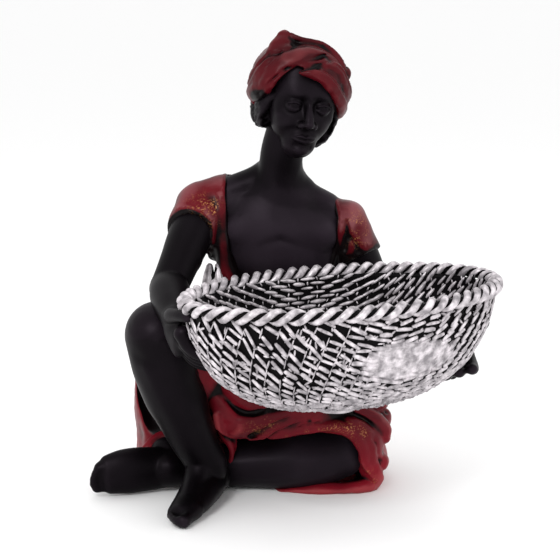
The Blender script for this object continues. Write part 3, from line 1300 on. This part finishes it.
def model_bodice(props):
    """Bodice and sleeves, open down the front."""
    bm = bmesh.new()
    limb(bm, BODICE, sides=60, rows=70)
    limb(bm, YOKE, across=(0, 0, 1), sides=36, rows=60)
    for shoulder, elbow, _, size in SLEEVES:
        end = between(shoulder, elbow, 0.55)
        ball(bm, shoulder, (size,) * 3, sides=36)
        sleeve = [(*shoulder, size), (*between(shoulder, end, 0.5), size - 0.6), (*end, size - 1.6)]
        limb(bm, sleeve, sides=40)
    limb(bm, FRONT_STRIP, sides=24, rows=50)
    limb(bm, [(-36.4, 9, 140, 3.6), (-36.0, 10, 134, 4.0), (-35.4, 11, 127, 3.8)], sides=20)
    clay = cast("bodice", bm, props.cloth_voxel, 5)
    for shoulder, elbow, hem, _ in SLEEVES:
        point, way = hem_plane(hem, shoulder)
        start = np.array(shoulder, float)
        axis = unit(np.array(elbow) - start)
        along = (clay.co - start) @ axis
        foot = start + along[:, None] * axis
        spoke = clay.co - foot
        far = np.linalg.norm(spoke, axis=1)
        beyond = ramp((clay.co - point) @ way, 0, -0.9)
        outer = ramp(np.sign(start[0]) * clay.co[:, 0], abs(start[0]) - 7, 1)
        share = beyond * (far < SLEEVE_REACH) * (along > 0) * outer
        clay.co = foot + spoke * (1 + share * (DRAWN_IN / np.maximum(far, DRAWN_IN) - 1))[:, None]
    x, y, z = clay.co.T
    right, left = neck_edges(z)
    edge = np.minimum(x - right, left - x)
    front = y < OPEN_BEFORE
    inside = ramp(edge, 0, 0.9) * front * (z > WAIST)
    nape = ramp(z, NAPE, 1.5) * (np.abs(x) < 25)
    clay.push(-6.0 * np.maximum(inside, nape))
    lip = np.exp(-(((edge + 1.2) / 1.1) ** 2)) * front * (z > 100)
    clay.push(0.55 * lip * (1 - inside))
    for start, end, width, depth in BODICE_CREASES:
        middle = moved([between(start, end, 0.5)], (1.0, -0.6, 0.8))[0]
        clay.stroke([start, middle, end], width, depth)
    for i in range(5):
        out = -24 + 12 * i
        clay.stroke([(out * 1.2, 42, 140), (out * 0.9, 46, 118), (out * 0.7, 48, 100)], 2.4, 0.7)
    clay.ripple(9, 0.7, 11)
    clay.relax(1, 0.4)
    made = thin(clay, props.bodice_triangles)
    x, y, z = made.co.T
    right, left = neck_edges(z)
    for edge, width, dark in ((right - x, 1.7, 0.9), (x - left, 1.5, 1.5)):
        made.shade -= dark * np.exp(-((edge / width) ** 2)) * (y < OPEN_BEFORE)
    for shoulder, _, hem, _ in SLEEVES:
        point, way = hem_plane(hem, shoulder)
        above = (made.co - point) @ way
        outer = np.sign(shoulder[0]) * x > abs(shoulder[0]) - 6
        band = 0.5 + 1.0 * ramp(np.abs(x), abs(shoulder[0]) + 8, 8)
        made.shade -= 1.3 * np.clip(1.4 - above / (1.6 * band + 0.8), 0, 1) * outer
    made.shade -= 0.9 * np.exp(-(((x + 27) / 3.5) ** 2)) * (z > NAPE) * (y < BACK_FROM)
    made.shade -= 0.3 * ramp(z, 134, -10) * (y < 20)
    made.shade += 0.42 * ramp(y, BACK_FROM, 8) * ramp(z, 150, -12)
    made.shade += 0.55 * near(made.co, (-37, 5, 149), (6, 9, 9))
    for path, width in SLEEVE_DARK:
        made.shade -= 0.9 * made.lines(path, width)
    for at, half in BODICE_GILT:
        made.gilt += near(made.co, at, half)
    return made


SASH_FAN = (
    ((-37.8, 10, 120.8, 1.9), (-38.0, 9.5, 115.5, 3.3), (-37.8, 9.5, 108, 4.4), (-34, 15, 95, 6)),
    ((-33.4, 6.5, 122.0, 1.5), (-33.0, 5.5, 117, 2.5), (-32.2, 5.5, 110, 3.3), (-29, 12, 97, 5)),
)


def model_sash(props):
    """A pleated sash round the waist, drawn up in a fan at her right side."""
    bm = bmesh.new()

    def pleats(around, u):
        return 1 + 0.02 * np.cos(26 * around + 5 * u)

    waist = [(3, 28, 82, 32.5, 23.5), (2.5, 26.5, 91, 32.6, 23.4), (2.5, 25, 100, 31, 22)]
    limb(bm, waist, sides=120, rows=40, cap=0.1, shape=pleats)
    for path in SASH_FAN:
        limb(bm, path, sides=30, rows=50)
    tail = [(-33, 38, 97, 6, 4), (-38, 44, 76, 8, 3.5), (-41, 49, 54, 10, 3.5)]
    limb(bm, tail, sides=40, rows=50)
    ball(bm, (-33, 34, 97), (7, 7.5, 6.5))
    clay = cast("sash", bm, 0.6, 3)
    folds = []
    for i in range(6):
        x = -41 + 2.8 * i
        clay.stroke([(-37.8 + 0.9 * i, 5, 120), (x + 1.5, 4, 112), (x + 1, 6, 97)], 0.6, 0.9)
        folds.append([(-36 + 0.9 * i, 42.4, 97), (x - 2 + i, 47.6, 76), (x - 6 + i, 52.6, 54)])
    for i in range(5):
        height = 84 + 3.6 * i
        ring = []
        for a in np.linspace(0, math.tau, 30):
            rise = 1.5 * math.sin(3 * a + i)
            ring.append((3 + 33 * math.cos(a), 27 + 24 * math.sin(a), height + rise))
        folds.append(ring)
    for path in folds:
        clay.stroke(path, 0.7, 0.55, smooth=False)
    clay.relax(1, 0.4)
    made = thin(clay, props.sash_triangles)
    x, y, z = made.co.T
    high = ramp(z, 100, 8)
    back = ramp(y, BACK_FROM, 8)
    tail = ramp(z, 94, -4) * ramp(x, -24, -3)
    creases = np.minimum(sum(made.lines(path, 0.7) for path in folds), 1)
    made.shade += 0.6 * high + back * (0.75 + 0.6 * tail - 1.1 * creases)
    for i in range(4):
        foot = -40 + 2.9 * i
        path = [(-38.2 + 1.5 * i, 6, 120), (foot + 1, 5.5, 112), (foot, 7, 100)]
        made.shade -= 0.8 * made.lines(path, 0.6) * high
    made.shade -= 1.4 * made.lines([(-35.4, 8, 122), (-35.3, 8, 117), (-35.0, 8, 108)], 1.4)
    return made


# Height of the hem over the left shin
HEM = (
    (-34, 40), (-31.1, 37.4), (-25.9, 33.5), (-20.1, 32.7), (-15.3, 31.0), (-5.8, 31.0), (-1.9, 30.7),
    (4.8, 32.9), (13.0, 35.4), (27.3, 35.3), (32.7, 34.4), (36.5, 32.4), (38.8, 29.5), (40.2, 24.0),
    (48.0, 10.0),
)
HEM_STRIP = ((-6, -2), (10, 3.4), (26, 5.4), (40, 6.5))
HEM_WALL = ((4, 46), (12, 42.5), (20, 40.2), (36, 40.2))
SKIRT_BODY = (
    (-2, 38, -6, 61, 37), (-1, 37, 22, 54, 35), (1, 34, 50, 45, 31), (3, 31, 74, 34, 25),
    (3, 27.5, 92, 30, 21.5),
)
SKIRT_SIDE = ((-50, 36, -6, 30, 29), (-52, 33, 24, 28, 27), (-55, 20, 52, 25, 23), (-57, 4, 70, 19, 18))
SKIRT_WALL = (
    (44, 4, 40, 10, 16), (48.5, 3, 28, 7.5, 14.5), (48.5, 2, 18, 7.2, 12.5), (48.5, 2, 8, 6.6, 10),
    (48, 2, 2, 6, 9),
)
# Path, width and strength of the gilt lines
SKIRT_GILT_LINES = (
    (((3.5, -22, 36.5), (13.7, -22, 38.6), (26, -21, 39.2)), 0.9, 1),
    (((42.6, -15, 17.5), (44.6, -13, 15), (48, -10, 12), (51, -8, 7)), 1.3, 1.2),
    (((12, -11, 6.2), (28, -11, 6.4), (36, -10.5, 6.2), (44, -9, 5)), 0.9, 0.7),
)
ROUND = (1, 0, 0)
# Dark hollows between the folds: path and width
SKIRT_DARK = (
    (((37, -14, 51), (45, -12, 51.5), (52, -4, 52)), 2.6),
    (((-8, -26, 51), (0, -26, 51.5), (5, -26, 52)), 1.5),
    (((-14.6, -24, 35.6), (-9, -25, 38.6), (-5, -26, 41.4)), 1.2),
    (((-6, -22, 34.6), (-1, -24, 37.6)), 1.1),
    (((15, -24, 41), (15.6, -24, 44)), 1.3),
    (((50.5, -9, 28), (52, -7, 24)), 1.6),
    (((47, -12, 36.5), (48.5, -11, 33.5)), 1.4),
    (((-23, -24, 51), (-16.5, -25, 49.2), (-11, -26, 50.2)), 1.2),
)
# Gilt places: middle and half size
SKIRT_GILT = (
    ((-13, -28, 39.6), (5.5, 8, 3.0)),
    ((-7, -28, 43.5), (4, 8, 2.6)),
    ((33, -18, 39.5), (8, 9, 2.6)),
    ((43, -14, 35), (5, 9, 4)),
)
# Paths of cloth rolls and the way their width lies
SKIRT_ROLLS = (
    (
        (
            (-5.5, -20.0, 34.6, 1.6), (2.6, -20.4, 36.6, 2.4), (10.5, -20.0, 38.8, 2.8),
            (26.4, -18.6, 40.4, 3.2), (34.5, -16.5, 38.6, 3.8), (41.0, -13.6, 33.0, 3.8),
            (44.8, -12.0, 25.0, 3.4), (45.5, -11.2, 18.0, 2.8), (48.6, -8.6, 12.4, 2.6),
            (51.6, -5.6, 6.4, 2.8),
        ),
        (0, 1, 0),
    ),
    (((-20, -19, 42.5, 8.0), (-10, -20.6, 44.6, 6.0), (4, -20.2, 48.6, 5.4), (24, -16, 52, 6)), ROUND),
    (
        (
            (-16.2, -20.6, 33.4, 1.3), (-9.3, -22.0, 35.6, 2.0), (-2.6, -22.8, 39.6, 2.2),
            (8, -22.2, 44.6, 2.4),
        ),
        ROUND,
    ),
    (((1, -21.6, 37.6, 1.2), (8, -22.2, 41.0, 1.8), (17, -20.6, 44.6, 2.4)), ROUND),
    (((-27, -18, 62, 6), (-14, -21, 55, 6.5), (4, -21, 55.5, 6)), (0, 1, 0)),
    (
        (
            (33, -15, 50, 3.0), (42, -12, 47.6, 3.6), (50, -7, 42.0, 4.2), (55.5, -1.5, 34.5, 4.4),
            (56.4, 0.5, 28.5, 3.6),
        ),
        ROUND,
    ),
    (
        ((38, -13.5, 42, 4.5), (44.5, -11.0, 36, 4.2), (47.2, -9.6, 27, 4.0), (49.2, -8.2, 18, 3.6)),
        (0, 1, 0),
    ),
    (((49.2, -8.0, 19, 2.6), (51.4, -6.0, 12, 3.4), (52.6, -3, 6, 3.6), (50.5, -3, 2, 3)), (0, 1, 0)),
    (
        (
            (-9, -5, 0.3, 3, 0.6), (8, -6, 0.9, 5, 1.5), (22, -7, 1.5, 6, 2.6), (36, -7, 2.1, 6.2, 3.3),
            (48, -4, 3.2, 6, 4),
        ),
        (0, 1, 0),
    ),
    (
        (
            (-79, 6, 15, 2.4), (-75, 4, 19.5, 2.4), (-70, 3, 23.5, 2.6), (-63, 3, 26, 2.8),
            (-54, 4, 27, 2.8),
        ),
        ROUND,
    ),
    (
        (
            (-33.0, -23.6, 47, 2.6), (-32.4, -24.0, 41, 2.4), (-31.0, -23.8, 36.0, 2.2),
            (-27.9, -22.6, 30.6, 2.1), (-25.8, -21.2, 25.0, 2.0), (-26.2, -19.8, 19.4, 1.8),
            (-27.2, -18.8, 14.8, 1.3),
        ),
        ROUND,
    ),
    (
        (
            (-29.6, -22.6, 43, 2.2), (-26.8, -21.8, 36.5, 1.9), (-24.2, -19.8, 30, 1.4),
            (-24.0, -18.0, 24, 1.2),
        ),
        ROUND,
    ),
)
# Full parts of the cloth: middle and half size
SKIRT_LOBES = (
    ((-21.5, -17.5, 41.0), (11, 8.6, 8.4)),
    ((51.5, 7.0, 46.5), (7.4, 9, 7.0)),
    ((55.0, 9.0, 36.5), (6.4, 9, 7.0)),
    ((54.5, 2.5, 14.0), (5.0, 7, 5.4)),
    ((46.0, 20.0, 12.0), (14, 20, 14)),
)
# Path, width and depth, ridges having a depth under 0
SKIRT_CREASES = (
    (
        ((-31, -21, 58), (-26.6, -23, 53.6), (-22, -24, 50.4), (-16.5, -25, 49), (-10, -26, 50.6)),
        1.2,
        1.3,
    ),
    (((-14.0, -25, 49.2), (-6, -26, 51.2), (4, -25, 52.6), (12, -24, 53)), 1.3, 2.6),
    (
        ((-15.5, -22, 35.0), (-10.5, -25, 37.8), (-6.0, -26, 40.6), (-2.0, -26, 43.2), (5, -26, 46.5)),
        1.0,
        2.6,
    ),
    (((-6.5, -21.5, 34.4), (-1.0, -24, 37.8), (4, -24.5, 40.4), (11, -24.5, 43.8)), 0.9, 2.2),
    (((4, -22.5, 39.0), (12, -23.4, 42.0), (20, -21, 43.4)), 0.9, 1.4),
    (((15.5, -23, 39.8), (14.6, -24, 42.6), (15.2, -24, 45)), 1.1, 1.1),
    (((22, -20, 48), (32, -17, 47.0), (40, -14, 44.6)), 1.2, 1.2),
    (((33, -17.5, 47), (41, -15, 44.6), (48.5, -10, 38.6), (52.4, -5.5, 31)), 1.1, 2.2),
    (((33, -18, 51.5), (42, -15.5, 49.6), (50.5, -10, 44.6), (57, -3.5, 37)), 0.8, -0.9),
    (((47.4, -12.5, 33), (50.6, -9, 27), (51.6, -7.5, 21), (53.6, -4.5, 16)), 1.2, 2.8),
    (((42.8, -14.8, 30), (46.4, -12.6, 24), (48.4, -10.6, 17.5), (51.4, -7.4, 12.5)), 0.8, 1.5),
    (((58, 2, 42.5), (58.5, 6, 41.5), (57, 12, 41)), 1.2, 2.0),
    (((59, 2, 30.5), (60.5, 6, 30), (59, 12, 29.5)), 1.0, 1.6),
    (((56, -2, 21.5), (59, 3, 20.5), (59, 10, 20)), 1.2, 2.0),
    (((53.5, -5, 9.0), (57.0, 0, 9.0), (57, 8, 9)), 1.0, 1.8),
    (
        (
            (41.4, -15.2, 31.5), (43.0, -14.2, 21.6), (44.2, -13.4, 16.4), (47.8, -11.0, 12.0),
            (51, -8.4, 6.6),
        ),
        0.6,
        -0.7,
    ),
    (((-36, -31, 72), (-34, -31, 60), (-30, -29, 50)), 1.6, 1.2),
    (((-28, -26, 70), (-24, -28, 60), (-16, -29, 55)), 1.8, 1.0),
    (((-64, 8, 84), (-74, 10, 60), (-78, 12, 30)), 1.8, 1.4),
    (((-58, 26, 80), (-72, 34, 48), (-78, 40, 14)), 2.0, 1.5),
    (((-40, 44, 70), (-52, 56, 40), (-60, 64, 8)), 2.4, 1.6),
    (((-12, 58, 80), (-18, 68, 44), (-22, 76, 6)), 2.6, 1.6),
    (((16, 58, 80), (22, 68, 44), (28, 74, 6)), 2.6, 1.6),
    (((34, 44, 74), (46, 54, 44), (56, 58, 8)), 2.4, 1.5),
)


def model_skirt(props):
    """The skirt over hips, lap and knee, with its folds and hems."""
    bm = bmesh.new()

    def hang(count):
        def shape(around, u):
            wave = np.cos(count * around + 2 * np.sin(2 * around))
            return 1 + 0.04 * (1 - u) ** 0.8 * (wave + 0.5 * np.cos(2.3 * count * around + 1.7))

        return shape

    limb(bm, SKIRT_BODY, sides=140, rows=80, cap=0.08, shape=hang(7))
    limb(bm, SKIRT_SIDE, sides=90, rows=60, cap=0.08, shape=hang(6))
    thigh = [(*between(HIP_R, KNEE_R, share), r) for share, r in ((0, 27), (0.5, 23), (0.82, 19.6))]
    limb(bm, thigh, sides=36, rows=50, cap=0.1)
    ball(bm, (4, 0, 47), (37, 24.5, 18), (0, 2, 0), sides=36)
    ball(bm, (26, 2, 40), (24, 20, 14), (0, 12, 0), sides=30)
    limb(bm, SKIRT_WALL, sides=40, rows=40, cap=0.1)
    limb(bm, [(-36, -10, 66, 8), (-32.5, -14.5, 56, 8.5), (-26, -17.4, 47, 8.4)], sides=30)
    for path, across in SKIRT_ROLLS:
        limb(bm, path, across=across, sides=24, rows=60, cap=0.08)
    for at, half in SKIRT_LOBES:
        ball(bm, at, half, sides=24)
    clay = cast("skirt", bm, props.cloth_voxel, 4)
    open_skirt(clay)
    for path, width, depth in SKIRT_CREASES:
        clay.stroke(path, width, depth)
    clay.ripple(16, 0.9, 21)
    clay.ripple(5, 0.35, 22)
    clay.relax(1, 0.3)
    flatten(clay)
    made = thin(clay, props.skirt_triangles)
    for at, half in SKIRT_GILT:
        made.gilt += near(made.co, at, half)
    for path, width, share in SKIRT_GILT_LINES:
        made.gilt += share * made.lines(path, width)
    for path, width in SKIRT_DARK:
        made.shade -= 1.3 * made.lines(path, width)
    x, y, z = made.co.T
    inner = (x > 34) & (x < 43) & (z < 32) & (y > -12)
    made.shade -= 0.3 * inner
    made.shade -= 0.42 * ramp(x, -60, -8) * ramp(z, 74, -8) * (y < 30)
    made.shade -= 0.45 * ramp(z, 16, -10) * ramp(y, 12, 10)
    made.shade += 0.35 * ramp(y, 30, 10) * ramp(z, 66, 10)
    return made


def open_skirt(clay):
    """Opens the skirt over the left shin and behind the right."""
    x, y, z = clay.co.T
    edge = read(HEM, x) - z
    strip = z - read(HEM_STRIP, x)
    wall = read(HEM_WALL, z) - x
    inside = ramp(np.minimum(np.minimum(edge, strip), wall), 0, 1.2) * (y < 6) * (x > -34)
    clay.push(9.0 * inside, (0, 1, 0))
    d = ((clay.co - np.array((-68, -2, 47))) / np.array((12.5, 22, 22))) ** 2
    clay.push(14.0 * np.exp(-d.sum(1) ** 3) * (y < 20), (0, 1, 0))
    clay.relax(2)


# Add-on


class FIGURINE_PG_basket(bpy.types.PropertyGroup):
    """Sizes of the basket, in millimetres and degrees."""

    at_x: FloatProperty(name="Foot X", description="Middle of the foot", default=32.0)
    at_y: FloatProperty(name="Foot Y", description="Middle of the foot", default=-56.5)
    at_z: FloatProperty(name="Foot Z", description="Underside of the foot", default=64.0)
    yaw: FloatProperty(name="Turn", description="Turn of the long axis about Z", default=27.0)
    half_long: FloatProperty(name="Half length", description="To the rope's middle", default=84.0)
    half_wide: FloatProperty(name="Half width", description="To the rope's middle", default=49.5)
    height: FloatProperty(name="Height", description="From foot to rope's middle", default=57.0)
    wall: FloatProperty(name="Wall", description="Thickness of the wall", default=4.0)
    rope_radius: FloatProperty(name="Rope radius", description="Of the rim", default=4.2)
    rope_turns: IntProperty(name="Rope turns", description="Twists round the rim", default=27)
    columns: IntProperty(name="Columns", description="Strands round the outside", default=50)
    twist: FloatProperty(name="Twist", description="How far the ribs lean, in turns", default=0.085)
    spacing: FloatProperty(name="Spacing", description="Between strands outside", default=3.15)
    columns_inside: IntProperty(name="Columns inside", description="Strands round it", default=35)
    rows_inside: IntProperty(name="Rows inside", description="Rows of strands", default=24)
    chips: IntProperty(name="Chips", description="Short ends under the bowl", default=1700)


class FIGURINE_PG_figure(bpy.types.PropertyGroup):
    """Fineness of the figure's skins, in millimetres and triangles."""

    head_voxel: FloatProperty(name="Head grain", description="Finest form", default=0.45)
    hand_voxel: FloatProperty(name="Hand grain", description="Finest form", default=0.6)
    foot_voxel: FloatProperty(name="Foot grain", description="Finest form", default=0.6)
    body_voxel: FloatProperty(name="Body grain", description="Finest form", default=0.8)
    cloth_voxel: FloatProperty(name="Cloth grain", description="Finest form", default=0.7)
    head_triangles: IntProperty(name="Head faces", description="Most triangles", default=34000)
    hair_triangles: IntProperty(name="Hair faces", description="Most triangles", default=8000)
    turban_triangles: IntProperty(name="Turban faces", description="Most triangles", default=26000)
    torso_triangles: IntProperty(name="Torso faces", description="Most triangles", default=10000)
    arm_triangles: IntProperty(name="Arm faces", description="Most triangles", default=12000)
    leg_triangles: IntProperty(name="Leg faces", description="Most triangles", default=15000)
    bodice_triangles: IntProperty(name="Bodice faces", description="Most triangles", default=20000)
    sash_triangles: IntProperty(name="Sash faces", description="Most triangles", default=11000)
    skirt_triangles: IntProperty(name="Skirt faces", description="Most triangles", default=34000)


class FIGURINE_PG_stage(bpy.types.PropertyGroup):
    """Camera and light."""

    distance: FloatProperty(name="Distance", description="Of the camera", default=0.9, unit="LENGTH")
    height: FloatProperty(name="Height", description="Of the camera", default=0.3, unit="LENGTH")
    aim: FloatProperty(name="Aim", description="Height it looks at", default=0.1153, unit="LENGTH")
    lens: FloatProperty(name="Lens", description="Focal length in mm", default=111.1)
    key: FloatProperty(name="Key light", description="Power in watts", default=4.0)
    fill: FloatProperty(name="Fill light", description="Power in watts", default=1.0)
    sky: FloatProperty(name="Sky", description="Strength of the white surround", default=1.0)


class FIGURINE_OT_basket(bpy.types.Operator):
    """Weave the basket and silver it"""

    bl_idname = "figurine.basket"
    bl_label = "Basket"

    def execute(self, context):
        build_basket(context.scene.figurine_basket, silver_paint("silver over black"))
        return {"FINISHED"}


class FIGURINE_OT_figure(bpy.types.Operator):
    """Model the seated woman, her dress and her turban, and paint them"""

    bl_idname = "figurine.figure"
    bl_label = "Figure"

    def execute(self, context):
        props = context.scene.figurine_figure
        bowl = Bowl(context.scene.figurine_basket)
        black = skin_paint()
        red = dress_paint("red paint", 1.1)
        skirt_red = dress_paint("skirt red", 2.1, 0.5, (0.36, 0.06, 0.065, 1))
        turban_red = dress_paint("turban red", 0.95, 0.36, (0.24, 0.05, 0.055, 1))
        silver = silver_paint("sash silver")
        skins = [
            (model_head(props), black, 1.2),
            (model_hair(props), black, 0.8),
            (model_turban(props), turban_red, 1.1),
            (model_torso(props), black, 2.0),
            (model_arm(props, "right", bowl), black, 1.6),
            (model_arm(props, "left", bowl), black, 1.6),
            (model_leg(props, "right"), black, 1.6),
            (model_leg(props, "left"), black, 1.6),
            (model_bodice(props), red, 1.2),
            (model_sash(props), silver, 0.8),
            (model_skirt(props), skirt_red, 1.6),
        ]
        for clay, _, scale in skins:
            mark_relief(clay, scale)
        join_skins("seated_woman", [s[:2] for s in skins], "figure")
        return {"FINISHED"}


def look_at(thing, place):
    """Turns a lamp or the camera towards a place."""
    way = Vector(place) - thing.location
    thing.rotation_euler = way.to_track_quat("-Z", "Y").to_euler()


class FIGURINE_OT_stage(bpy.types.Operator):
    """Set the pale floor, the soft light and the camera"""

    bl_idname = "figurine.stage"
    bl_label = "Stage"

    def execute(self, context):
        props = context.scene.figurine_stage
        bm = bmesh.new()
        bmesh.ops.create_grid(bm, x_segments=1, y_segments=1, size=20.0)
        mesh = settle("floor", bm)
        floor = hold("floor", mesh)
        paper = bpy.data.materials.new("pale paper")
        paper.use_nodes = True
        shader = paper.node_tree.nodes["Principled BSDF"]
        shader.inputs["Base Color"].default_value = (0.97, 0.97, 0.97, 1)
        shader.inputs["Roughness"].default_value = 0.9
        mesh.materials.append(paper)
        context.scene.view_settings.view_transform = "Standard"
        world = bpy.data.worlds.new("white surround")
        world.use_nodes = True
        background = world.node_tree.nodes["Background"]
        background.inputs["Color"].default_value = (1, 1, 1, 1)
        background.inputs["Strength"].default_value = props.sky
        context.scene.world = world
        for name, place, size, power in (
            ("key light", (-0.3, -0.75, 0.65), 0.3, props.key),
            ("fill light", (0.65, -0.35, 0.45), 0.5, props.fill),
            ("top light", (0.1, 0.25, 0.9), 0.6, props.fill),
        ):
            data = bpy.data.lights.new(name, "AREA")
            data.shape = "SQUARE"
            data.size = size
            data.energy = power
            lamp = hold(name, data)
            lamp.location = place
            look_at(lamp, (0, -0.02, 0.11))
        data = bpy.data.cameras.new("camera")
        data.lens = props.lens
        data.sensor_width = 36
        camera = hold("camera", data)
        camera.location = (0, -props.distance, props.height)
        look_at(camera, (0, 0, props.aim))
        context.scene.camera = camera
        return {"FINISHED"}


class FIGURINE_PT_panel(bpy.types.Panel):
    """Everything the figurine is made with"""

    bl_label = "Figurine"
    bl_idname = "FIGURINE_PT_panel"
    bl_space_type = "VIEW_3D"
    bl_region_type = "UI"
    bl_category = "Figurine"

    def draw(self, context):
        layout = self.layout
        for name in ("basket", "figure", "stage"):
            box = layout.box()
            props = getattr(context.scene, "figurine_" + name)
            for key in props.bl_rna.properties.keys():
                if key not in ("rna_type", "name"):
                    box.prop(props, key)
            box.operator("figurine." + name)


CLASSES = (
    FIGURINE_PG_basket,
    FIGURINE_PG_figure,
    FIGURINE_PG_stage,
    FIGURINE_OT_basket,
    FIGURINE_OT_figure,
    FIGURINE_OT_stage,
    FIGURINE_PT_panel,
)


def register():
    """Adds the classes and the scene's properties."""
    for cls in CLASSES:
        bpy.utils.register_class(cls)
    bpy.types.Scene.figurine_basket = PointerProperty(type=FIGURINE_PG_basket)
    bpy.types.Scene.figurine_figure = PointerProperty(type=FIGURINE_PG_figure)
    bpy.types.Scene.figurine_stage = PointerProperty(type=FIGURINE_PG_stage)


def unregister():
    """Removes them again."""
    del bpy.types.Scene.figurine_stage
    del bpy.types.Scene.figurine_figure
    del bpy.types.Scene.figurine_basket
    for cls in reversed(CLASSES):
        bpy.utils.unregister_class(cls)


def main():
    """Builds the figurine."""
    register()
    bpy.ops.figurine.basket()
    bpy.ops.figurine.figure()
    bpy.ops.figurine.stage()


if __name__ == "__main__":
    main()
